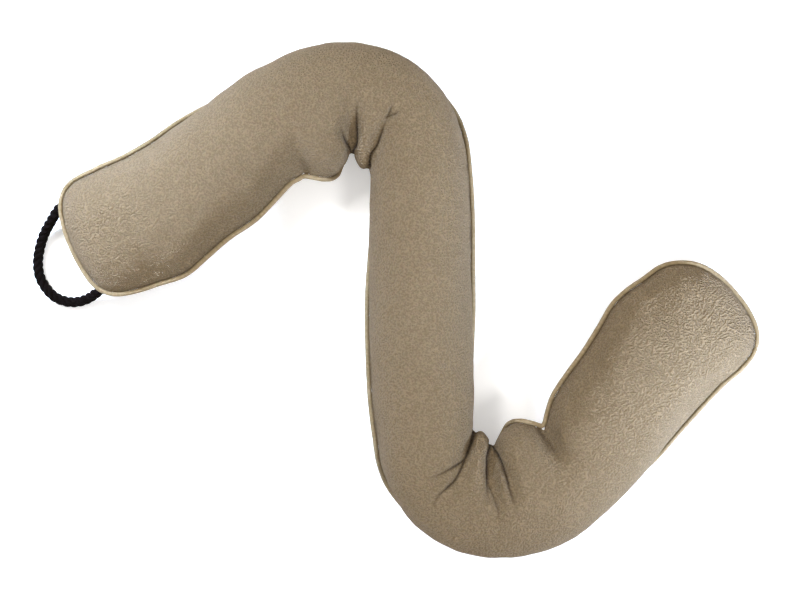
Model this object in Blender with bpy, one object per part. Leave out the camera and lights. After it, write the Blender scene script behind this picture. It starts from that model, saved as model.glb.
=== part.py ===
"""Draught excluder: a filled fleece tube, folded into an S and lying on its back on a floor.

Two long fleece panels are sewn together all round, with a piping in the seam, and the tube is
filled. A rope loop is caught in the end seam. The tube is bent sharply twice: the cloth on the
inside of each bend is gathered into lumps with creases between them, which run out from the
point where the bend pinches shut.

Metres, +Z up. The origin is on the floor, under the middle of the tube's outline. Each section
of the tube runs from side a to side b. Side a is the outer side of the upper bend and the inner
side of the lower bend.
"""

import math
from collections import namedtuple

import bmesh
import bpy
from mathutils import Matrix, Vector
from mathutils.bvhtree import BVHTree

# Clearance between sewn pieces
GAP = 0.0003

# The fleece tube
WIDEST_LEVEL = 0.47  # height of the widest level, as a share of a section's height
FLAT_SINK = 0.004  # how deep an unloaded section would reach under the floor
TOP_ROUND = 2.25  # exponents of the section's upper and lower curves
UNDER_ROUND = 2.6
TOP_STEPS = 14  # faces across the upper panel
UNDER_STEPS = 8  # faces across the lower panel
ARM_STEP = 0.0095  # longest face along the arms and the middle
BEND_STEP = 0.0052  # longest face along the bends
TUCK_LEVEL = 0.5  # share of the section's lower half over which a lump tucks under

# The piping in the seam
PIPING_DIAMETER = 0.0048
PIPING_RESOLUTION = 1
PIPING_JOINT = 0.0014  # between the two lengths of piping where they meet

# The rope loop
ROPE_DIAMETER = 0.0092
ROPE_STRANDS = 3
ROPE_LAY = 0.0175  # length of one full turn of the strands
ROPE_GROOVE = 0.20  # depth of the groove between strands, as a share of the radius
ROPE_RINGS_A_TURN = 9
ROPE_POINTS_A_STRAND = 4
ROPE_END_STEPS = 20  # how finely the rope's ends are fitted to the cover

# A section of the tube: its two sides in plan, its height, how far round the section from the
# widest level the seam lies on each side in degrees (down is negative), and how far the lower
# half of each side is tucked in
Section = namedtuple("Section", "ax ay bx by height seam_a seam_b tuck_a tuck_b")

LEFT_ARM = (
    Section(-0.261, 0.110, -0.214, 0.015, 0.058, 4, 4, 0, 0),
    Section(-0.240, 0.119, -0.192, 0.022, 0.063, 2, 6, 0, 0),
    Section(-0.218, 0.132, -0.174, 0.036, 0.066, 0, 8, 0, 0),
    Section(-0.195, 0.150, -0.154, 0.053, 0.068, -8, 8, 0, 0),
    Section(-0.173, 0.166, -0.133, 0.067, 0.069, -22, 8, 0, 0),
    Section(-0.153, 0.182, -0.117, 0.083, 0.070, -30, 8, 0, 0),
    Section(-0.136, 0.193, -0.103, 0.098, 0.071, -34, 8, 0, 0),
)
MIDDLE = (
    Section(0.050, 0.080, -0.0345, 0.038, 0.078, 0, -24, 0, 0),
    Section(0.051, 0.020, -0.034, -0.022, 0.080, -2, -2, 0, 0),
    Section(0.0535, -0.040, -0.0315, -0.082, 0.078, -24, 0, 0, 0),
)
RIGHT_ARM = (
    Section(0.122, -0.084, 0.159, -0.189, 0.071, 8, -34, 0, 0),
    Section(0.134, -0.065, 0.182, -0.168, 0.070, 8, -30, 0, 0),
    Section(0.148, -0.046, 0.204, -0.144, 0.069, 8, -20, 0, 0),
    Section(0.162, -0.024, 0.225, -0.115, 0.067, 8, -4, 0, 0),
    Section(0.174, -0.005, 0.246, -0.090, 0.063, 6, 2, 0, 0),
    Section(0.189, 0.008, 0.263, -0.072, 0.059, 4, 4, 0, 0),
)

# A section of a bend: the direction of its outer side from the pinch in degrees and how far off
# it lies, its inner side relative to the pinch, then height, seams and tuck as above, for the outer
# and the inner side. The lower bend is the upper one turned half a turn.
Fan = namedtuple("Fan", "turn reach x y height seam_out seam_in tuck")

BEND = (
    Fan(132, 0.1043, -0.0450, -0.0205, 0.072, -34, 8, 0.000),
    Fan(127, 0.1023, -0.0395, -0.0180, 0.072, -34, 8, 0.000),
    Fan(122, 0.1008, -0.0325, -0.0190, 0.073, -34, 8, 0.003),
    Fan(116, 0.0993, -0.0250, -0.0203, 0.073, -34, 8, 0.006),
    Fan(111, 0.0982, -0.0178, -0.0205, 0.073, -34, 6, 0.009),
    Fan(106, 0.0974, -0.0092, -0.0172, 0.073, -34, -14, 0.0115),
    Fan(103, 0.0969, -0.0036, -0.0128, 0.073, -34, -28, 0.0115),
    Fan(99, 0.0965, -0.0014, -0.0080, 0.072, -34, -34, 0.0080),
    Fan(95, 0.0958, -0.0010, -0.0030, 0.071, -34, -34, 0.0040),
    Fan(90, 0.0953, 0.0002, 0.0014, 0.070, -34, -34, 0.000),
    Fan(84, 0.0949, 0.0022, -0.0035, 0.071, -34, -34, 0.003),
    Fan(77, 0.0946, 0.0040, -0.0095, 0.072, -34, -34, 0.006),
    Fan(68, 0.0945, 0.0080, -0.0145, 0.073, -34, -34, 0.007),
    Fan(57, 0.0945, 0.0125, -0.0150, 0.074, -34, -34, 0.006),
    Fan(45, 0.0946, 0.0155, -0.0125, 0.074, -32, -34, 0.004),
    Fan(33, 0.0950, 0.0160, -0.0170, 0.075, -28, -34, 0.002),
    Fan(21, 0.0956, 0.0155, -0.0240, 0.076, -20, -34, 0.001),
    Fan(9, 0.0955, 0.0152, -0.0340, 0.077, -8, -34, 0.000),
    Fan(-2, 0.0970, 0.0150, -0.0450, 0.078, 0, -32, 0.000),
)
UPPER_PINCH = Vector((-0.0500, 0.1233))
LOWER_PINCH = Vector((0.0703, -0.1259))

# Where the two lengths of piping meet, counted in rings from the tips
LEFT_JOINT_RING = 6
RIGHT_JOINT_RING = 6

# A ring of an end: how far past the arm's last section, how wide it is to side a and to side b as
# shares of that section, and how high
EndRing = namedtuple("EndRing", "out side_a side_b rise")
LEFT_END = (
    EndRing(0.0090, 1.000, 0.980, 0.98),
    EndRing(0.0185, 1.005, 0.950, 0.94),
    EndRing(0.0272, 0.995, 0.910, 0.88),
    EndRing(0.0345, 0.945, 0.860, 0.80),
    EndRing(0.0403, 0.850, 0.790, 0.71),
    EndRing(0.0446, 0.720, 0.700, 0.60),
    EndRing(0.0480, 0.535, 0.575, 0.47),
    EndRing(0.0502, 0.330, 0.410, 0.33),
    EndRing(0.0512, 0.110, 0.170, 0.16),
)
RIGHT_END = (
    EndRing(0.0095, 0.965, 1.01, 0.98),
    EndRing(0.0190, 0.945, 1.02, 0.95),
    EndRing(0.0278, 0.920, 1.01, 0.90),
    EndRing(0.0355, 0.865, 0.985, 0.84),
    EndRing(0.0422, 0.780, 0.935, 0.76),
    EndRing(0.0478, 0.680, 0.850, 0.67),
    EndRing(0.0527, 0.555, 0.720, 0.56),
    EndRing(0.0563, 0.410, 0.550, 0.44),
    EndRing(0.0585, 0.255, 0.365, 0.31),
    EndRing(0.0595, 0.080, 0.150, 0.16),
)

# The creases of the gathers: their route in plan, half-width and depth at the pinch. They fade
# in over the first few millimetres of the route and out along the rest.
Crease = namedtuple("Crease", "route half_width depth")
CREASE_START = 0.007
CREASES = (
    Crease(((-0.050, 0.124), (-0.052, 0.129), (-0.056, 0.138), (-0.058, 0.146)), 0.0040, 0.008),
    Crease(((-0.050, 0.124), (-0.047, 0.130), (-0.046, 0.143), (-0.045, 0.170)), 0.0055, 0.011),
    Crease(((-0.035, 0.113), (-0.030, 0.128), (-0.024, 0.143), (-0.008, 0.160)), 0.0055, 0.011),
    Crease(((-0.090, 0.107), (-0.091, 0.117), (-0.093, 0.129)), 0.0070, 0.005),
    Crease(((0.056, -0.113), (0.052, -0.124), (0.045, -0.139), (0.012, -0.153)), 0.0055, 0.010),
    Crease(((0.048, -0.134), (0.040, -0.152), (0.029, -0.162), (0.018, -0.178)), 0.0055, 0.008),
    Crease(((0.070, -0.125), (0.067, -0.137), (0.067, -0.156), (0.075, -0.183)), 0.0055, 0.011),
    Crease(((0.070, -0.125), (0.075, -0.133), (0.081, -0.148), (0.088, -0.174)), 0.0050, 0.010),
    Crease(((0.110, -0.107), (0.114, -0.117), (0.124, -0.130), (0.131, -0.141)), 0.0080, 0.008),
)

# The rope loop lies on the floor between its two ends in the end seam. Its route in plan, and the
# height of its middle above the lowest that it can lie.
ROPE_REST = ROPE_DIAMETER / 2 + GAP
ROPE_ROUTE = (
    (-0.2950, 0.0815, 0.0140),
    (-0.3015, 0.0755, 0.0130),
    (-0.3080, 0.0665, 0.0085),
    (-0.3145, 0.0565, 0.0035),
    (-0.3190, 0.0445, 0.0005),
    (-0.3210, 0.0315, 0.0000),
    (-0.3195, 0.0195, 0.0000),
    (-0.3140, 0.0090, 0.0000),
    (-0.3065, 0.0015, 0.0000),
    (-0.2970, -0.0025, 0.0000),
    (-0.2880, -0.0030, 0.0000),
    (-0.2785, -0.0005, 0.0020),
    (-0.2690, 0.0050, 0.0075),
    (-0.2610, 0.0115, 0.0120),
    (-0.2550, 0.0185, 0.0135),
)

FLEECE_COLOUR = (0.42, 0.34, 0.25, 1.0)
PIPING_COLOUR = (0.50, 0.41, 0.28, 1.0)
ROPE_COLOUR = (0.012, 0.010, 0.011, 1.0)


def clear_scene():
    for obj in list(bpy.data.objects):
        bpy.data.objects.remove(obj)


def cloth_material(name, colour, roughness):
    material = bpy.data.materials.new(name)
    material.use_nodes = True
    shader = material.node_tree.nodes["Principled BSDF"]
    shader.inputs["Base Color"].default_value = colour
    shader.inputs["Roughness"].default_value = roughness
    shader.inputs["Metallic"].default_value = 0.0
    return material


def bend_sections(pinch, half_turn):
    """The sections of one bend, from the arm to the middle. half_turn is 1, or -1 for the lower bend,
    whose inner side is side a."""
    rows = []
    for fan in BEND:
        turn = math.radians(fan.turn)
        outer = pinch + half_turn * fan.reach * Vector((math.cos(turn), math.sin(turn)))
        inner = pinch + half_turn * Vector((fan.x, fan.y))
        if half_turn > 0:
            row = Section(*outer, *inner, fan.height, fan.seam_out, fan.seam_in, 0, fan.tuck)
        else:
            row = Section(*inner, *outer, fan.height, fan.seam_in, fan.seam_out, fan.tuck, 0)
        rows.append(row)
    return rows


def blend_rows(rows, step_of):
    """Rows on a smooth curve through the given rows, close enough together for step_of(index)."""
    found = []
    for i in range(len(rows) - 1):
        before, start, end, after = (rows[min(max(j, 0), len(rows) - 1)] for j in range(i - 1, i + 3))
        side_a = math.dist((start.ax, start.ay), (end.ax, end.ay))
        side_b = math.dist((start.bx, start.by), (end.bx, end.by))
        steps = max(1, math.ceil(max(side_a, side_b) / step_of(i)))
        for k in range(steps):
            found.append(Section(*(catmull_rom(p, k / steps) for p in zip(before, start, end, after))))
    found.append(rows[-1])
    return found


def catmull_rom(points, t):
    p0, p1, p2, p3 = points
    return 0.5 * (
        2 * p1
        + (p2 - p0) * t
        + (2 * p0 - 5 * p1 + 4 * p2 - p3) * t * t
        + (3 * p1 - p0 - 3 * p2 + p3) * t**3
    )


def tube_sections():
    upper = bend_sections(UPPER_PINCH, 1)
    lower = bend_sections(LOWER_PINCH, -1)[::-1]
    rows = [*LEFT_ARM, *upper, *MIDDLE, *lower, *RIGHT_ARM]
    first_upper = len(LEFT_ARM)
    first_lower = first_upper + len(BEND) + len(MIDDLE)

    def step_of(i):
        in_bend = any(first - 1 <= i < first + len(BEND) for first in (first_upper, first_lower))
        return BEND_STEP if in_bend else ARM_STEP

    return blend_rows(rows, step_of)


def power(value, exponent):
    """value raised to an exponent, keeping its sign."""
    return math.copysign(abs(value) ** exponent, value)


def section_points(row, rise=1.0, sides=(1.0, 1.0), shift=(0.0, 0.0)):
    """The points of one section, from the seam on side a over the top to side b and back underneath.

    rise flattens the section towards the level of its seams, sides draws in side a and side b, and
    shift moves it in plan, which together make the rings of an end."""
    a, b = Vector((row.ax, row.ay)), Vector((row.bx, row.by))
    middle, across = (a + b) / 2 + Vector(shift), (a - b) / 2
    half_width = across.length
    level = WIDEST_LEVEL * row.height
    angle_a = math.radians(row.seam_a)
    angle_b = math.pi - math.radians(row.seam_b)
    top = [angle_a + (angle_b - angle_a) * k / TOP_STEPS for k in range(TOP_STEPS)]
    under_turn = 2 * math.pi + angle_a - angle_b
    under = [angle_b + under_turn * k / UNDER_STEPS for k in range(UNDER_STEPS)]
    points = []
    for angle in top + under:
        round_by = 2 / (TOP_ROUND if math.sin(angle) > 0 else UNDER_ROUND)
        side, up = power(math.cos(angle), round_by), power(math.sin(angle), round_by)
        draw, tuck = (sides[0], row.tuck_a) if side > 0 else (sides[1], row.tuck_b)
        if up > 0:
            height = level + (row.height - level) * up * rise
        else:
            height = level + (level + FLAT_SINK) * up * rise
            side *= 1 - tuck / half_width * min(1.0, -up / TUCK_LEVEL)
        place = middle + across * side * draw
        points.append(Vector((place.x, place.y, max(0.0, height))))
    return points


def end_rings(row, table, outward):
    """The rings of one end of the tube, from the arm's last section out to the tip."""
    across = Vector((row.ax - row.bx, row.ay - row.by))
    out = Vector((across.y, -across.x)).normalized()
    if out.dot(outward) < 0:
        out = -out
    return [
        section_points(row, ring.rise, (ring.side_a, ring.side_b), out * ring.out) for ring in table
    ]


def crease_depth(place):
    """How deep the creases press the cloth in at a place in plan."""
    deepest = 0.0
    for crease in CREASES:
        route = [Vector(p) for p in crease.route]
        lengths = [(q - p).length for p, q in zip(route, route[1:])]
        total, before = sum(lengths), 0.0
        for p, q, length in zip(route, route[1:], lengths):
            along = (q - p) / length
            t = min(max((place - p).dot(along), 0.0), length)
            away = (place - p - along * t).length / crease.half_width
            fade = min(1.0, (before + t) / CREASE_START) * (1 - ((before + t) / total) ** 2)
            deepest = max(deepest, crease.depth * math.exp(-away * away) * fade)
            before += length
    return deepest


def press_creases(rings):
    """Moves the points of each ring in towards its middle where a crease runs."""
    for ring in rings:
        centre = sum(ring, Vector()) / len(ring)
        for point in ring:
            depth = crease_depth(point.xy)
            inward = centre - point
            if point.z > 0 and depth > 0:
                point += inward.normalized() * min(depth, inward.length / 2)
                point.z = max(0.0, point.z)


def skin(rings):
    """A closed mesh over rings of equal numbers of points."""
    bm = bmesh.new()
    loops = [[bm.verts.new(p) for p in ring] for ring in rings]
    for one, two in zip(loops, loops[1:]):
        for k in range(len(one)):
            nxt = (k + 1) % len(one)
            bm.faces.new((one[k], one[nxt], two[nxt], two[k]))
    bm.faces.new(loops[0])
    bm.faces.new(loops[-1][::-1])
    bmesh.ops.recalc_face_normals(bm, faces=bm.faces)
    return bm


def object_of(bm, name, material):
    mesh = bpy.data.meshes.new(name)
    bm.to_mesh(mesh)
    bm.free()
    mesh.shade_smooth()
    obj = bpy.data.objects.new(name, mesh)
    obj.data.materials.append(material)
    bpy.context.scene.collection.objects.link(obj)
    return obj


def make_tube():
    """The filled fleece tube, its seam as two rows of points and its surface for fitting the rest."""
    rows = tube_sections()
    left = end_rings(rows[0], LEFT_END, Vector((-1, 0)))[::-1]
    right = end_rings(rows[-1], RIGHT_END, Vector((1, 0)))
    rings = left + [section_points(row) for row in rows] + right
    press_creases(rings)
    bm = skin(rings)
    bmesh.ops.triangulate(bm, faces=bm.faces)
    bm.normal_update()
    surface = BVHTree.FromBMesh(bm)
    object_of(bm, "filled_cover", cloth_material("fleece", FLEECE_COLOUR, 0.95))
    return rings, surface


def push_clear(path, surface, distance):
    """Moves the points of a path onto a line that keeps that distance from the surface."""
    placed = []
    for point in path:
        near, normal, _, _ = surface.find_nearest(point)
        side = point - near
        if side.dot(normal) < 0 or side.length < 1e-6:
            side = normal
        placed.append(near + side.normalized() * distance)
    return placed


def lift_spans(path, surface, distance):
    """Moves both ends of each straight span out as far as the span comes too near the surface."""
    for i in range(1, len(path)):
        one, two = path[i - 1], path[i]
        worst, way = 0.0, None
        for share in (0.0, 0.25, 0.5, 0.75):
            place = one.lerp(two, share)
            near, normal, _, away = surface.find_nearest(place)
            outside = (place - near).dot(normal) > 0
            lack = distance - (away if outside else -away)
            if lack > worst:
                worst, way = lack, normal
        if way is not None:
            path[i - 1] = one + way * worst
            path[i] = two + way * worst


def smooth_path(path):
    """A path with its corners eased, between the same two ends."""
    eased = [(path[i - 1] + 2 * path[i] + path[i + 1]) / 4 for i in range(1, len(path) - 1)]
    return [path[0], *eased, path[-1]]


def make_piping(name, seam, surface, material):
    """One length of piping, seated on the seam."""
    distance = PIPING_DIAMETER / 2 + GAP
    path = push_clear(seam, surface, distance)
    for _ in range(4):
        path = push_clear(smooth_path(path), surface, distance)
    for _ in range(6):
        lift_spans(path, surface, distance)
    path[0] += (path[1] - path[0]).normalized() * PIPING_JOINT / 2
    path[-1] += (path[-2] - path[-1]).normalized() * PIPING_JOINT / 2
    curve = bpy.data.curves.new(name, "CURVE")
    curve.dimensions = "3D"
    curve.bevel_depth = PIPING_DIAMETER / 2
    curve.bevel_resolution = PIPING_RESOLUTION
    curve.use_fill_caps = True
    spline = curve.splines.new("POLY")
    spline.points.add(len(path) - 1)
    for point, place in zip(spline.points, path):
        point.co = (*place, 1.0)
    curve.materials.append(material)
    bpy.context.scene.collection.objects.link(bpy.data.objects.new(name, curve))


def make_pipings(rings, surface):
    """The two lengths of piping, which meet at one corner of each end."""
    side_a = [ring[0] for ring in rings]
    side_b = [ring[TOP_STEPS] for ring in rings]
    left_tip = (side_a[0] + side_b[0]) / 2
    right_tip = (side_a[-1] + side_b[-1]) / 2
    round_seam = [*side_a, right_tip, *side_b[::-1], left_tip]
    first = LEFT_JOINT_RING
    second = len(side_a) + RIGHT_JOINT_RING
    material = cloth_material("piping", PIPING_COLOUR, 0.85)
    make_piping("edge_piping_a", round_seam[first : second + 1], surface, material)
    make_piping("edge_piping_b", round_seam[second:] + round_seam[: first + 1], surface, material)


def rope_centreline():
    """Points down the middle of the rope, one for each ring."""
    route = [Vector((x, y, z + ROPE_REST)) for x, y, z in ROPE_ROUTE]
    dense = []
    for i in range(len(route) - 1):
        four = [route[min(max(j, 0), len(route) - 1)] for j in range(i - 1, i + 3)]
        for k in range(20):
            dense.append(Vector(catmull_rom(axis, k / 20) for axis in zip(*four)))
    dense.append(route[-1])
    total = sum((q - p).length for p, q in zip(dense, dense[1:]))
    count = round(total / ROPE_LAY * ROPE_RINGS_A_TURN)
    line, walked, k = [], 0.0, 0
    for i in range(count + 1):
        target = total * i / count
        while k < len(dense) - 2 and walked + (dense[k + 1] - dense[k]).length < target:
            walked += (dense[k + 1] - dense[k]).length
            k += 1
        piece = dense[k + 1] - dense[k]
        line.append(dense[k] + piece * ((target - walked) / piece.length))
    return line


def trim_to(loops, surface):
    """The rope's rings, ended at either end where the clearance to the cover is just kept."""

    def clear(loop):
        for point in loop:
            near, normal, _, away = surface.find_nearest(point)
            if away < GAP or (point - near).dot(normal) < 0:
                return False
        return True

    def end_ring(kept, left_out):
        """The ring furthest from the kept one, on the way to the first left out, that is clear."""
        for step in range(ROPE_END_STEPS - 1, 0, -1):
            ring = [p.lerp(q, step / ROPE_END_STEPS) for p, q in zip(kept, left_out)]
            if clear(ring):
                return [ring]
        return []

    middle = len(loops) // 2
    first = next(i for i in range(middle, 0, -1) if not clear(loops[i - 1]))
    last = next(i for i in range(middle, len(loops) - 1) if not clear(loops[i + 1]))
    start = end_ring(loops[first], loops[first - 1])
    end = end_ring(loops[last], loops[last + 1])
    return start + loops[first : last + 1] + end


def make_rope(surface):
    """The rope loop, with its strands as ridges that wind round it."""
    line = rope_centreline()
    around = ROPE_STRANDS * ROPE_POINTS_A_STRAND
    loops = []
    for i, centre in enumerate(line):
        ahead = (line[min(i + 1, len(line) - 1)] - line[max(i - 1, 0)]).normalized()
        side = ahead.cross(Vector((0, 0, 1))).normalized()
        up = side.cross(ahead)
        wind = 2 * math.pi * i / ROPE_RINGS_A_TURN
        loop = []
        for k in range(around):
            angle = 2 * math.pi * k / around
            ridge = abs(math.sin(ROPE_STRANDS * angle / 2))
            radius = ROPE_DIAMETER / 2 * (1 - ROPE_GROOVE * (1 - ridge) ** 1.5)
            turn = angle + wind
            loop.append(centre + (side * math.cos(turn) + up * math.sin(turn)) * radius)
        loops.append(loop)
    bm = skin(trim_to(loops, surface))
    object_of(bm, "rope_loop", cloth_material("rope", ROPE_COLOUR, 0.6))


def centre_on_outline(names):
    """Moves every piece so that the middle of the named pieces' outline is over the origin."""
    bpy.context.view_layer.update()
    graph = bpy.context.evaluated_depsgraph_get()
    corners = []
    for name in names:
        obj = bpy.data.objects[name].evaluated_get(graph)
        corners += [Vector(corner) for corner in obj.bound_box]
    low = Vector(min(c[axis] for c in corners) for axis in range(3))
    high = Vector(max(c[axis] for c in corners) for axis in range(3))
    middle = (low + high) / 2
    for obj in bpy.data.objects:
        obj.data.transform(Matrix.Translation((-middle.x, -middle.y, 0)))


clear_scene()
tube_rings, tube_surface = make_tube()
make_pipings(tube_rings, tube_surface)
make_rope(tube_surface)
centre_on_outline(("filled_cover", "edge_piping_a", "edge_piping_b"))
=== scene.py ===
import math
from collections import namedtuple

import bmesh
import bpy
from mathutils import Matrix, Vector, noise
from mathutils.bvhtree import BVHTree
from mathutils.kdtree import KDTree


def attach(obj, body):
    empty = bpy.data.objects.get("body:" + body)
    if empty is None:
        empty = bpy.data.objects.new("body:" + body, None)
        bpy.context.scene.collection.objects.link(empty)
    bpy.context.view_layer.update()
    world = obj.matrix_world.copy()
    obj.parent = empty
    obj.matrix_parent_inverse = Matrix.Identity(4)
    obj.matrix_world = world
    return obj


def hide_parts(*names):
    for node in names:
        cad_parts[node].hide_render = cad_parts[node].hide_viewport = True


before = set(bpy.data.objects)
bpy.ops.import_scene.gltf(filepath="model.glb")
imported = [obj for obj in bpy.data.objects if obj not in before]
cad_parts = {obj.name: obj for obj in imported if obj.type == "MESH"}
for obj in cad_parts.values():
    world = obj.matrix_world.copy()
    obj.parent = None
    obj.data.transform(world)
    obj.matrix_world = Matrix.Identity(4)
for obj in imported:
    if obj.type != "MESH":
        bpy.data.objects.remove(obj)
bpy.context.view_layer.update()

# The camera looks straight down at the tube from 1.6 m, and the floor is a white light table. A
# wide light hangs overhead, and two softboxes stand at the upper left and the lower right. Two
# narrow grids, each aimed at one end of the tube, make the ends lighter and cooler than the bends.
CAMERA_PLACE = (-0.0076, 0.0010, 1.6)
SEAM_LEVEL = 0.034
VIEW_WIDTH = 0.678  # what the picture takes in at the level of the seam
SENSOR = 36.0
FLOOR_WHITE = (0.88, 0.88, 0.88, 1)
FLOOR_GLOW = 0.35
WARM, COOL = (1.0, 0.985, 0.965), (0.55, 0.70, 1.0)

bpy.ops.object.select_all(action="DESELECT")
bpy.ops.object.camera_add(location=CAMERA_PLACE, rotation=(0, 0, 0))
camera = bpy.context.object
camera.name = "camera"
camera.data.sensor_width = SENSOR
camera.data.lens = SENSOR * (CAMERA_PLACE[2] - SEAM_LEVEL) / VIEW_WIDTH
bpy.context.scene.camera = camera
bpy.context.scene.view_settings.view_transform = "Standard"

bpy.ops.mesh.primitive_plane_add(size=8, location=(0, 0, -0.0002))
floor = bpy.context.object
floor.name = "floor"
floor_paint = bpy.data.materials.new("light table")
floor_paint.use_nodes = True
floor_shader = floor_paint.node_tree.nodes["Principled BSDF"]
floor_shader.inputs["Base Color"].default_value = FLOOR_WHITE
floor_shader.inputs["Roughness"].default_value = 0.9
floor_shader.inputs["Specular IOR Level"].default_value = 0.1
floor_shader.inputs["Emission Color"].default_value = (1, 1, 1, 1)
floor_shader.inputs["Emission Strength"].default_value = FLOOR_GLOW
floor.data.materials.append(floor_paint)

for name, place, aim, side, spread, energy, colour in (
    ("overhead", (0, 0, 2.6), (0, 0, 0), 3.0, 180, 22, WARM),
    ("upper left", (-0.9, 1.0, 1.7), (0, 0, 0), 0.5, 180, 25, WARM),
    ("lower right", (0.9, -1.0, 1.7), (0, 0, 0), 0.5, 180, 19, WARM),
    ("left grid", (-0.92, 0.78, 0.9), (-0.26, 0.09, 0.04), 0.2, 25, 1.20, COOL),
    ("right grid", (0.96, -0.74, 0.7), (0.26, -0.05, 0.04), 0.2, 26, 1.35, COOL),
):
    bpy.ops.object.light_add(type="AREA", location=place)
    light = bpy.context.object
    light.name = name
    light.data.shape = "RECTANGLE"
    light.data.size = light.data.size_y = side
    light.data.spread = math.radians(spread)
    light.data.energy = energy
    light.data.color = colour
    light.rotation_euler = (Vector(aim) - Vector(place)).to_track_quat("-Z", "Y").to_euler()

room = bpy.data.worlds.new("room")
room.use_nodes = True
room.node_tree.nodes["Background"].inputs["Color"].default_value = (1.0, 0.99, 0.975, 1)
room.node_tree.nodes["Background"].inputs["Strength"].default_value = 0.3
bpy.context.scene.world = room


# The hanging loop is a short length of black rope, three strands laid round each other, each
# strand of many fine yarns. Both ends are caught in the end seam, under the piping. The loop
# comes down from the seam and lies on the floor.
ROPE_LAY = 0.0175  # length of one full turn of the strands
ROPE_STEP = 0.0008
STRAND_RADIUS = 0.0023
STRAND_OFF_AXIS = 0.0023
STRAND_SIDES = 16
YARNS_ROUND = 12  # yarns that show round a strand
YARN_SLANT = 2600.0  # how far they turn along it, in radians for each metre
# The rope is painted darker in the grooves between its yarns, as shade
ROPE_DARK, ROPE_LIGHT = (0.0012, 0.0008, 0.0007, 1), (0.009, 0.006, 0.005, 1)
ROPE_ROUTE = (
    (-0.2927, 0.0838, 0.0193),
    (-0.3006, 0.0765, 0.0179),
    (-0.3071, 0.0675, 0.0134),
    (-0.3136, 0.0575, 0.0084),
    (-0.3181, 0.0455, 0.0054),
    (-0.3201, 0.0325, 0.0049),
    (-0.3186, 0.0205, 0.0049),
    (-0.3131, 0.0100, 0.0049),
    (-0.3056, 0.0025, 0.0049),
    (-0.2961, -0.0015, 0.0049),
    (-0.2871, -0.0020, 0.0049),
    (-0.2776, 0.0005, 0.0069),
    (-0.2681, 0.0060, 0.0124),
    (-0.2576, 0.0144, 0.0182),
)


def flowing(points, step):
    """Points at even steps on a smooth curve through the given points."""
    points = [Vector(p) for p in points]
    dense = []
    for i in range(len(points) - 1):
        p0, p1, p2, p3 = (points[min(max(j, 0), len(points) - 1)] for j in range(i - 1, i + 3))
        for k in range(24):
            t = k / 24
            dense.append(
                0.5
                * (
                    2 * p1
                    + (p2 - p0) * t
                    + (2 * p0 - 5 * p1 + 4 * p2 - p3) * t * t
                    + (3 * p1 - p0 - 3 * p2 + p3) * t**3
                )
            )
    dense.append(points[-1])
    lengths = [0.0]
    for p, q in zip(dense, dense[1:]):
        lengths.append(lengths[-1] + (q - p).length)
    count = max(2, round(lengths[-1] / step))
    line, k = [], 0
    for i in range(count + 1):
        target = lengths[-1] * i / count
        while k < len(dense) - 2 and lengths[k + 1] < target:
            k += 1
        share = (target - lengths[k]) / max(lengths[k + 1] - lengths[k], 1e-9)
        line.append(dense[k].lerp(dense[k + 1], share))
    return line


def frames_along(line):
    """The direction, a side and an upward axis at each point of a line, without needless twist."""
    axes = []
    side = Vector((0, 0, 1))
    for i in range(len(line)):
        ahead = (line[min(i + 1, len(line) - 1)] - line[max(i - 1, 0)]).normalized()
        side = (side - ahead * side.dot(ahead)).normalized()
        axes.append((ahead, side, ahead.cross(side)))
    return axes


def cord_mesh(bm, line, sides, radius_at):
    """Adds a closed tube to bm. Its UV map runs along the cord in metres and once around it."""
    uv = bm.loops.layers.uv.verify()
    rings = []
    walked = 0.0
    for i, (point, (ahead, side, up)) in enumerate(zip(line, frames_along(line))):
        if i:
            walked += (point - line[i - 1]).length
        ring = []
        for k in range(sides):
            turn = 2 * math.pi * k / sides
            off = (side * math.cos(turn) + up * math.sin(turn)) * radius_at(walked, turn)
            ring.append(bm.verts.new(point + off))
        rings.append((walked, ring))
    for (start, one), (end, two) in zip(rings, rings[1:]):
        for k in range(sides):
            nxt = (k + 1) % sides
            face = bm.faces.new((one[k], one[nxt], two[nxt], two[k]))
            around, around_next = k / sides, (k + 1) / sides
            places = ((start, around), (start, around_next), (end, around_next), (end, around))
            for loop, place in zip(face.loops, places):
                loop[uv].uv = place
            face.smooth = True
    bm.faces.new(rings[0][1])
    bm.faces.new(rings[-1][1][::-1])


def piece_from(bm, name):
    """A finished piece, at the origin, with its faces pointing out."""
    bmesh.ops.recalc_face_normals(bm, faces=bm.faces)
    mesh = bpy.data.meshes.new(name)
    bm.to_mesh(mesh)
    bm.free()
    piece = bpy.data.objects.new(name, mesh)
    bpy.context.scene.collection.objects.link(piece)
    return piece


def put(tree, kind, inputs=(), **settings):
    """Adds a shader node, sets it up, and joins its inputs or sets their values."""
    made = tree.nodes.new("ShaderNode" + kind)
    for name, value in settings.items():
        setattr(made, name, value)
    for name, value in dict(inputs).items():
        if isinstance(value, bpy.types.NodeSocket):
            tree.links.new(value, made.inputs[name])
        else:
            made.inputs[name].default_value = value
    return made


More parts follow.
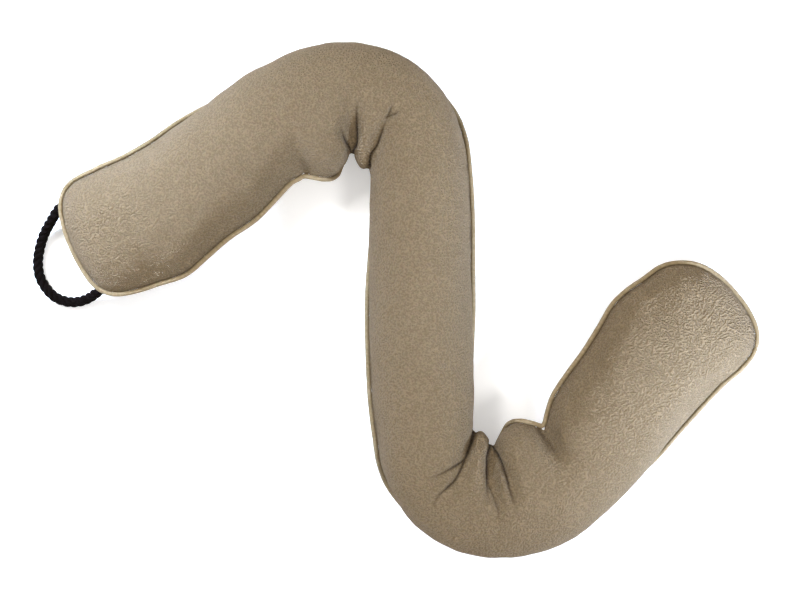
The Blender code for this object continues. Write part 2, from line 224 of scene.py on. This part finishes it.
def uneven_dye_group():
    """Uneven dye: a colour made lighter and darker in soft patches."""
    group = bpy.data.node_groups.new("uneven dye", "ShaderNodeTree")
    for name, kind, default in (
        ("Colour", "NodeSocketColor", (0.5, 0.5, 0.5, 1)),
        ("Place", "NodeSocketVector", None),
        ("Patch Scale", "NodeSocketFloat", 20.0),
        ("Amount", "NodeSocketFloat", 0.1),
    ):
        socket = group.interface.new_socket(name, in_out="INPUT", socket_type=kind)
        if default is not None:
            socket.default_value = default
    group.interface.new_socket("Colour", in_out="OUTPUT", socket_type="NodeSocketColor")
    given = group.nodes.new("NodeGroupInput").outputs
    found = group.nodes.new("NodeGroupOutput").inputs
    soft = {"Vector": given["Place"], "Scale": given["Patch Scale"], "Detail": 4.0}
    patches = put(group, "TexNoise", soft)
    centred = put(group, "Math", {0: patches.outputs["Fac"], 1: 0.5}, operation="SUBTRACT")
    swing = put(group, "Math", {0: centred.outputs[0], 1: given["Amount"]}, operation="MULTIPLY")
    level = put(group, "Math", {0: swing.outputs[0], 1: 1.0}, operation="ADD")
    levelled = {0: given["Colour"], "Scale": level.outputs[0]}
    dyed = put(group, "VectorMath", levelled, operation="SCALE")
    group.links.new(dyed.outputs[0], found["Colour"])
    return group


UNEVEN_DYE = uneven_dye_group()


def toned(tree, colour, place, scale, amount):
    """A colour dyed unevenly, in patches of a scale."""
    given = {"Colour": colour, "Place": place, "Patch Scale": scale, "Amount": amount}
    return put(tree, "Group", given, node_tree=UNEVEN_DYE).outputs["Colour"]


def colour_mix(tree, share, dark, light):
    """A colour between two, by a share from 0 to 1. Each may be a colour or a socket."""
    given = {0: share, 6: dark, 7: light}
    return put(tree, "Mix", given, data_type="RGBA", clamp_factor=True).outputs[2]


def new_finish(name):
    """A new material, its nodes and its texture coordinates."""
    material = bpy.data.materials.new(name)
    material.use_nodes = True
    return material, material.node_tree, put(material.node_tree, "TexCoord")


def wire_up(tree, colour, height, strength, depth, values):
    """Joins a colour and a small relief to the shader, and sets the shader's own values."""
    shader = tree.nodes["Principled BSDF"]
    bump = put(tree, "Bump", {"Height": height, "Strength": strength, "Distance": depth})
    tree.links.new(colour, shader.inputs["Base Color"])
    tree.links.new(bump.outputs[0], shader.inputs["Normal"])
    for name, value in values.items():
        shader.inputs[name].default_value = value


def rope_material():
    """Fine yarns that run slantwise round each strand, with fluff on them."""
    material, tree, place = new_finish("black rope")
    parts = put(tree, "SeparateXYZ", {0: place.outputs["UV"]})
    along = put(tree, "Math", {0: parts.outputs["X"], 1: YARN_SLANT}, operation="MULTIPLY")
    round_it = {0: parts.outputs["Y"], 1: YARNS_ROUND * 2 * math.pi}
    around = put(tree, "Math", round_it, operation="MULTIPLY")
    both = put(tree, "Math", {0: along.outputs[0], 1: around.outputs[0]}, operation="ADD")
    yarns = put(tree, "Math", {0: both.outputs[0]}, operation="SINE")
    fine = {"Vector": place.outputs["Object"], "Scale": 2200.0, "Detail": 3.0}
    fluff = put(tree, "TexNoise", fine)
    fluffed = {0: fluff.outputs["Fac"], 1: 2.0, 2: yarns.outputs[0]}
    height = put(tree, "Math", fluffed, operation="MULTIPLY_ADD").outputs[0]
    # Painted shade: the colour follows the yarns' height, darker between them.
    share = put(tree, "MapRange", {"Value": height, "From Min": -0.4, "From Max": 2.4})
    colour = colour_mix(tree, share.outputs[0], ROPE_DARK, ROPE_LIGHT)
    colour = toned(tree, colour, place.outputs["Object"], 160.0, 0.5)
    wire_up(tree, colour, height, 0.6, 0.00015, {
        "Roughness": 0.8,
        "Specular IOR Level": 0.03,
    })
    return material


rope_line = flowing(ROPE_ROUTE, ROPE_STEP)
rope_bm = bmesh.new()
for strand in range(3):
    strand_line = []
    for step, (point, (_, side, up)) in enumerate(zip(rope_line, frames_along(rope_line))):
        turn = 2 * math.pi * (step * ROPE_STEP / ROPE_LAY + strand / 3)
        strand_line.append(point + (side * math.cos(turn) + up * math.sin(turn)) * STRAND_OFF_AXIS)
    cord_mesh(rope_bm, strand_line, STRAND_SIDES, lambda walked, turn: STRAND_RADIUS)
rope = piece_from(rope_bm, "rope_strands")
rope.data.materials.append(rope_material())
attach(rope, "root")
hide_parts("rope_loop")


# The tube is two long panels of beige fleece, sewn together all round and stuffed. The seam pulls
# its edges in, the floor flattens it underneath, and where it is bent double the cloth on the
# inside of the bend is caught in sharp creases that fan out from the pinch.
CLOTH_GRAIN = 0.0014  # fine enough to keep the two pinches open
CLOTH_THINNED = 0.27  # share of those faces that the stuffing pushes out
TAKE_IN = 0.0012  # the cloth starts this much smaller than the finished tube
FILL_PUSH = 4.0
MOST_SWELL = 0.0028
PIPING_RADIUS = 0.0020
SEAM_CLEAR = 0.0001
SEAM_REACH = 0.014  # how far from the seam the cloth is drawn towards it
UNDER_REST = 0.0002
SIM_FRAMES = 20
CURL_SCALE, FLUFF_SCALE = 670.0, 1700.0
NAP_DEPTH = 0.0017
# The nap is painted darker in its hollows, as shade, and lighter at its tips
NAP_LOW, NAP_TIP = (0.200, 0.143, 0.079, 1), (0.264, 0.189, 0.106, 1)
# Shade painted into the creases, where the folds keep the light out
CREASE_SHADE_COLOUR = (0.040, 0.025, 0.012, 1)
# Shade painted along the seam, where the cover dips in beside the piping
SEAM_SHADE_COLOUR = (0.130, 0.088, 0.042, 1)

# A crease of the gathers: the side of its route on which the cloth laps over it, left or right,
# its depth and half-width, how dark its painted shade is, and the route in plan, from the pinch
# outward. One with a depth below nought is a fold that stands up between two others.
Crease = namedtuple("Crease", "over depth width dark route")
LEFT, RIGHT = 1, -1
CREASES = (
    Crease(LEFT, 0.0016, 0.0016, 0.95, (
        (-0.0482, 0.1233), (-0.0499, 0.1274), (-0.0540, 0.1357), (-0.0565, 0.1440),
    )),
    Crease(LEFT, 0.0018, 0.0018, 1.0, (
        (-0.0474, 0.1241), (-0.0455, 0.1291), (-0.0444, 0.1382), (-0.0441, 0.1531),
        (-0.0428, 0.1672),
    )),
    Crease(RIGHT, 0.0018, 0.0017, 1.0, (
        (-0.0333, 0.1125), (-0.0316, 0.1208), (-0.0275, 0.1274), (-0.0242, 0.1357),
        (-0.0209, 0.1448), (-0.0167, 0.1523),
    )),
    Crease(LEFT, 0.0020, 0.0014, 0.7, (
        (-0.0184, 0.1507), (-0.0159, 0.1556), (-0.0138, 0.1623),
    )),
    Crease(RIGHT, 0.0020, 0.0014, 0.6, (
        (-0.0175, 0.1515), (-0.0126, 0.1536), (-0.0068, 0.1569),
    )),
    Crease(LEFT, 0.0017, 0.0017, 0.95, (
        (0.0554, -0.1105), (0.0504, -0.1238), (0.0463, -0.1329), (0.0413, -0.1366),
        (0.0318, -0.1420), (0.0231, -0.1458), (0.0131, -0.1487),
    )),
    Crease(RIGHT, 0.0016, 0.0018, 0.95, (
        (0.0463, -0.1337), (0.0413, -0.1445), (0.0376, -0.1507), (0.0318, -0.1561),
        (0.0243, -0.1627), (0.0193, -0.1727),
    )),
    Crease(LEFT, 0.0018, 0.0018, 1.0, (
        (0.0687, -0.1221), (0.0664, -0.1288), (0.0657, -0.1395), (0.0654, -0.1520),
        (0.0651, -0.1677),
    )),
    Crease(RIGHT, 0.0014, 0.0015, 0.6, (
        (0.0656, -0.1511), (0.0693, -0.1615), (0.0730, -0.1735), (0.0750, -0.1843),
    )),
    Crease(RIGHT, 0.0017, 0.0017, 1.0, (
        (0.0702, -0.1225), (0.0742, -0.1310), (0.0785, -0.1408), (0.0821, -0.1517),
        (0.0858, -0.1652), (0.0911, -0.1768),
    )),
    Crease(RIGHT, 0.0018, 0.0040, 0.3, (
        (-0.0872, 0.1085), (-0.0890, 0.1140), (-0.0925, 0.1200),
    )),
    Crease(RIGHT, 0.0016, 0.0030, 0.5, (
        (0.1085, -0.1055), (0.1143, -0.1152), (0.1205, -0.1250), (0.1267, -0.1337),
    )),
    Crease(LEFT, -0.0022, 0.0026, 0.0, (
        (-0.0480, 0.1262), (-0.0490, 0.1310), (-0.0500, 0.1370), (-0.0500, 0.1450),
    )),
    Crease(LEFT, -0.0022, 0.0026, 0.0, (
        (0.0690, -0.1240), (0.0696, -0.1320), (0.0716, -0.1430), (0.0740, -0.1540),
    )),
)
CREASE_REACH = 0.012
CREASE_FADE = 2.2  # the higher, the nearer to its end a crease keeps its depth
CREASED_ABOVE = 0.015  # the cloth below this level has none
SHARP = 0.004  # a crease narrower than this gets smaller faces
LIP_AT, LIP_WIDTH = 2.6, 1.8  # where the cloth swells beside a crease, in half-widths of it
LIP_OVER, LIP_UNDER = 0.30, 0.06  # how high, as a share of its depth, on the lapping side and not
DARK_WIDTH = 0.6  # half the width of the painted shade line, in half-widths of the crease
UNEVEN = ((55, 0.0007), (130, 0.00025))  # lumps in the stuffing: how close, and how high
SEAM_SHADE = 0.0006  # how far the shade of the seam reaches out of it


def cad_mesh(node):
    """A CAD node's mesh with its loose faces joined."""
    bm = bmesh.new()
    bm.from_mesh(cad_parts[node].data)
    bmesh.ops.remove_doubles(bm, verts=bm.verts, dist=0.00001)
    return bm


def finish_with(piece, kind, **settings):
    """Adds a modifier to a piece and applies it."""
    bpy.ops.object.select_all(action="DESELECT")
    piece.select_set(True)
    bpy.context.view_layer.objects.active = piece
    modifier = piece.modifiers.new(kind.lower(), kind)
    for name, value in settings.items():
        setattr(modifier, name, value)
    bpy.ops.object.modifier_apply(modifier=modifier.name)


def tree_of(points):
    """Finds the nearest of many points."""
    tree = KDTree(len(points))
    for number, point in enumerate(points):
        tree.insert(point, number)
    tree.balance()
    return tree


def cord_line(node, first_end):
    """The middle line of a CAD cord, ring by ring from the end nearest to first_end."""
    bm = cad_mesh(node)
    near = sorted(bm.verts, key=lambda v: (v.co - Vector(first_end)).length)[:6]
    seen, ring, line = set(near), near, []
    while ring:
        line.append(sum((v.co for v in ring), Vector()) / len(ring))
        joined = (e.other_vert(v) for v in ring for e in v.link_edges)
        ring = list(dict.fromkeys(v for v in joined if v not in seen))
        seen.update(ring)
    bm.free()
    return line


seam_lines = {
    "a": cord_line("edge_piping_a", (-0.2850, 0.1012, 0.0294)),
    "b": cord_line("edge_piping_b", (0.2946, -0.0415, 0.0296)),
}
seam_points = [p for line in seam_lines.values() for p in flowing(line, 0.001)]
seam_tree = tree_of(seam_points)

cover = piece_from(cad_mesh("filled_cover"), "fleece_cover")
finish_with(cover, "REMESH", mode="VOXEL", voxel_size=CLOTH_GRAIN)
finish_with(cover, "SMOOTH", factor=0.5, iterations=4)
finish_with(cover, "DECIMATE", ratio=CLOTH_THINNED)
finish_with(cover, "DISPLACE", strength=-TAKE_IN, mid_level=0.0)

before = [v.co.copy() for v in cover.data.vertices]
stuffing = cover.modifiers.new("stuffing", "CLOTH")
stuffing.settings.quality = 4
stuffing.settings.mass = 0.3
stuffing.settings.tension_stiffness = 12
stuffing.settings.compression_stiffness = 12
stuffing.settings.bending_stiffness = 0.4
stuffing.settings.use_pressure = True
stuffing.settings.uniform_pressure_force = FILL_PUSH
stuffing.settings.effector_weights.gravity = 0
stuffing.point_cache.frame_start = 1
stuffing.point_cache.frame_end = SIM_FRAMES
for number in range(1, SIM_FRAMES + 1):
    bpy.context.scene.frame_set(number)
bpy.ops.object.modifier_apply(modifier="stuffing")
bpy.context.scene.frame_set(1)
for vertex, start in zip(cover.data.vertices, before):
    moved = vertex.co - start
    if moved.length > MOST_SWELL:
        vertex.co = start + moved.normalized() * MOST_SWELL


def draw_to_seam(vertices, times, reach):
    """The cloth is drawn to the seam wherever it falls short of it."""
    for _ in range(times):
        cloth_tree = tree_of([v.co for v in vertices])
        pulls = {}
        for seam in seam_points:
            nearest = cloth_tree.find(seam)[2]
            short = nearest - PIPING_RADIUS - SEAM_CLEAR
            if short > 0:
                for place, number, away in cloth_tree.find_range(seam, nearest + reach):
                    share = (1 - (away - nearest) / reach) ** 2
                    pull = (seam - place).normalized() * short
                    pulls.setdefault(number, []).append((share, pull))
        for number, found in pulls.items():
            most = max(share for share, _ in found)
            whole = sum(share for share, _ in found)
            if whole > 0:
                pull = sum((pull * share for share, pull in found), Vector()) / whole
                vertices[number].co += pull * most


# Near the seam the panels lie as they were cut.
cut = cad_mesh("filled_cover")
cut_tree = BVHTree.FromBMesh(cut)
cut.free()
for vertex in cover.data.vertices:
    away = seam_tree.find(vertex.co)[2]
    if away < SEAM_REACH:
        share = min(1.0, 1.6 * (1 - away / SEAM_REACH))
        vertex.co = vertex.co.lerp(cut_tree.find_nearest(vertex.co)[0], share)
draw_to_seam(cover.data.vertices, 3, SEAM_REACH / 2)


def nearest_on_route(place, route):
    """How far a place lies from a route, on which side, and how far along, from 0 to 1."""
    total = sum((q - p).length for p, q in zip(route, route[1:]))
    best, before = None, 0.0
    for p, q in zip(route, route[1:]):
        length = (q - p).length
        along = (q - p) / length
        off = place - p
        t = min(max(off.dot(along), 0.0), length)
        away = (off - along * t).length
        if best is None or away < best[0]:
            side = along.x * off.y - along.y * off.x
            best = (away, LEFT if side > 0 else RIGHT, (before + t) / total)
        before += length
    return best


crease_lines = []
for crease in CREASES:
    line = [p.xy for p in flowing([(x, y, 0) for x, y in crease.route], 0.003)]
    middle = sum(line, Vector((0, 0))) / len(line)
    reach = max((p - middle).length for p in line) + CREASE_REACH
    crease_lines.append((crease, line, middle, reach))


def creases_near(place):
    """The creases within reach of a place in plan."""
    found = []
    for crease, line, middle, reach in crease_lines:
        if (place - middle).length < reach:
            away, side, share = nearest_on_route(place, line)
            if away < CREASE_REACH:
                found.append((crease, away, side, share))
    return found


# Smaller faces along the creases and the seam
bm = bmesh.new()
bm.from_mesh(cover.data)
for crease_reach, seam_reach in ((0.0070, 0.0045), (0.0030, 0.0026)):
    fine = []
    for face in bm.faces:
        middle = face.calc_center_median()
        if seam_tree.find(middle)[2] < seam_reach:
            fine.append(face)
        elif middle.z > 0.02:
            near = creases_near(middle.xy)
            if any(away < crease_reach and crease.width < SHARP for crease, away, _, _ in near):
                fine.append(face)
    edges = list(dict.fromkeys(edge for face in fine for edge in face.edges))
    bmesh.ops.subdivide_edges(bm, edges=edges, cuts=1, use_grid_fill=True)
bmesh.ops.triangulate(bm, faces=[face for face in bm.faces if len(face.verts) > 4])
bm.normal_update()

# The creases are pressed in, with a soft lip on the side where the cloth laps over. After that
# the seam is drawn in under the piping.
crease_shades, seam_shades = [], []
for vertex in bm.verts:
    crease_shade, sunk, raised = 0.0, 0.0, 0.0
    if vertex.co.z > CREASED_ABOVE and vertex.normal.z > -0.3:
        for crease, away, side, share in creases_near(vertex.co.xy):
            fade = 1 - share**CREASE_FADE
            groove = math.exp(-((away / crease.width) ** 2))
            lip = math.exp(-(((away / crease.width - LIP_AT) / LIP_WIDTH) ** 2))
            lip_height = LIP_OVER if side == crease.over else LIP_UNDER
            sunk = max(sunk, crease.depth * fade * groove)
            raised = max(raised, -crease.depth * fade * groove)
            raised = max(raised, crease.depth * fade * lip * lip_height)
            # A narrow line of shade is painted along the middle of each crease.
            inside = math.exp(-((away / crease.width / DARK_WIDTH) ** 2))
            crease_shade = max(crease_shade, crease.dark * min(1.0, 1.3 * fade) * inside)
    bumpy = sum(noise.noise(vertex.co * scale) * height for scale, height in UNEVEN)
    vertex.co += vertex.normal * (raised - sunk + bumpy)
    crease_shades.append(crease_shade)
draw_to_seam(list(bm.verts), 5, SEAM_REACH / 4)
for vertex in bm.verts:
    seam, _, away = seam_tree.find(vertex.co)
    clear = PIPING_RADIUS + SEAM_CLEAR
    if away < clear:
        vertex.co = seam + (vertex.co - seam).normalized() * clear
    vertex.co.z = max(vertex.co.z, UNDER_REST)
    # Shade is painted onto the cloth beside the seam, fading out from it.
    seam_shades.append(math.exp(-max(0.0, away - clear) / SEAM_SHADE))
bm.to_mesh(cover.data)
bm.free()
for name, marks in (("crease", crease_shades), ("seam", seam_shades)):
    layer = cover.data.attributes.new(name, "FLOAT", "POINT")
    layer.data.foreach_set("value", marks)
cover.data.shade_smooth()


def fleece_material():
    """A short nap of worm-like curls and fluff, light at the tips, with painted shade between."""
    material, tree, place = new_finish("beige fleece")
    place = place.outputs["Object"]
    turn = {"Vector": place, "Rotation": (0.5, 0.7, 0.4)}
    turned = put(tree, "VectorRotate", turn, rotation_type="EULER_XYZ")
    curls = put(
        tree, "TexNoise", {"Vector": turned.outputs[0], "Scale": CURL_SCALE, "Detail": 0.0}
    )
    cut_off = {"Value": curls.outputs["Fac"], "From Min": 0.28, "From Max": 0.72}
    tufts = put(tree, "MapRange", cut_off, interpolation_type="SMOOTHSTEP")
    fluff = put(tree, "TexNoise", {"Vector": place, "Scale": FLUFF_SCALE, "Detail": 2.0})
    fluffed = {0: fluff.outputs["Fac"], 1: 0.2, 2: tufts.outputs[0]}
    nap = put(tree, "Math", fluffed, operation="MULTIPLY_ADD").outputs[0]
    # Painted shade: the colour follows the nap's height, darker in its hollows.
    tips = put(tree, "MapRange", {"Value": nap, "From Min": 0.2, "From Max": 1.0})
    colour = colour_mix(tree, tips.outputs[0], NAP_LOW, NAP_TIP)
    colour = toned(tree, colour, place, 9.0, 0.14)
    # Painted shade: darker inside the creases and along the seam.
    crease = put(tree, "Attribute", attribute_name="crease")
    colour = colour_mix(tree, crease.outputs["Fac"], colour, CREASE_SHADE_COLOUR)
    seam = put(tree, "Attribute", attribute_name="seam")
    colour = colour_mix(tree, seam.outputs["Fac"], colour, SEAM_SHADE_COLOUR)
    wire_up(tree, colour, nap, 1.0, NAP_DEPTH, {
        "Roughness": 0.95,
        "Specular IOR Level": 0.15,
        "Sheen Weight": 0.05,
        "Sheen Roughness": 0.5,
        "Sheen Tint": (0.95, 0.93, 0.90, 1),
    })
    return material


cover.data.materials.append(fleece_material())
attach(cover, "root")
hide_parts("filled_cover")


# The piping is a thin cord wrapped in a strip of smoother, yellower knit and sewn into the seam.
# It comes in two lengths, which meet at a corner of each end. The strip is on the stretch, so it
# is ribbed across by small wrinkles, and it rises and falls a little along the seam.
PIPING_STEP = 0.0012
PIPING_SIDES = 14
JOINT_CLOSED = 0.0006  # how far each end reaches on towards the next length
RIBS, RIB_HEIGHT = 260, 0.05  # how close, and how high as a share of the radius
SWELLS, SWELL_HEIGHT = 60, 0.04
# The knit is painted darker in the troughs of its wrinkles, as shade
KNIT_DARK, KNIT_LIGHT = (0.190, 0.138, 0.068, 1), (0.315, 0.238, 0.135, 1)
PIPING_SHADE = 0.0003  # how far the shade of the seam reaches up it


def piping_material():
    """A smooth knit, ribbed across by the wrinkles of the stretched strip."""
    material, tree, place = new_finish("piping knit")
    ribbed = {0: place.outputs["UV"], 1: (1.0, 0.0035, 1.0)}
    stretched = put(tree, "VectorMath", ribbed, operation="MULTIPLY")
    ribs = put(tree, "TexNoise", {"Vector": stretched.outputs[0], "Scale": 420.0, "Detail": 3.0})
    fine = {"Vector": place.outputs["Object"], "Scale": FLUFF_SCALE, "Detail": 2.0}
    knit = put(tree, "TexNoise", fine)
    knitted = {0: knit.outputs["Fac"], 1: 0.35, 2: ribs.outputs["Fac"]}
    height = put(tree, "Math", knitted, operation="MULTIPLY_ADD").outputs[0]
    # Painted shade: the colour follows the ribs' height, darker in their troughs.
    share = put(tree, "MapRange", {"Value": height, "From Min": 0.4, "From Max": 0.95})
    colour = colour_mix(tree, share.outputs[0], KNIT_DARK, KNIT_LIGHT)
    colour = toned(tree, colour, place.outputs["Object"], 45.0, 0.14)
    # Painted shade where the piping meets the cover.
    seam = put(tree, "Attribute", attribute_name="seam")
    colour = colour_mix(tree, seam.outputs["Fac"], colour, SEAM_SHADE_COLOUR)
    wire_up(tree, colour, height, 0.6, 0.0006, {
        "Roughness": 0.8,
        "Specular IOR Level": 0.2,
        "Sheen Weight": 0.1,
        "Sheen Tint": (0.95, 0.90, 0.82, 1),
    })
    return material


piping_knit = piping_material()
sewn = bmesh.new()
sewn.from_mesh(cover.data)
sewn_to = BVHTree.FromBMesh(sewn)
sewn.free()
for number, (length, line) in enumerate(seam_lines.items()):
    piping_bm = bmesh.new()
    start = Vector((0, 0, 7 * number))

    def rolled(walked, turn):
        across = (0.4 * math.cos(turn), 0.4 * math.sin(turn))
        rib = noise.noise(start + Vector((walked * RIBS, *across)))
        swell = noise.noise(start + Vector((walked * SWELLS, 3, 3)))
        return PIPING_RADIUS * (1 + RIB_HEIGHT * rib + SWELL_HEIGHT * swell)

    line[0] += (line[0] - line[1]).normalized() * JOINT_CLOSED
    line[-1] += (line[-1] - line[-2]).normalized() * JOINT_CLOSED
    cord_mesh(piping_bm, flowing(line, PIPING_STEP), PIPING_SIDES, rolled)
    piping = piece_from(piping_bm, f"piping_knit_{length}")
    # The piping is painted darker where it touches the cover, as shade.
    layer = piping.data.attributes.new("seam", "FLOAT", "POINT")
    nearest = [sewn_to.find_nearest(v.co)[3] for v in piping.data.vertices]
    marks = [math.exp(-away / PIPING_SHADE) for away in nearest]
    layer.data.foreach_set("value", marks)
    piping.data.materials.append(piping_knit)
    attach(piping, "root")
    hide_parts(f"edge_piping_{length}")
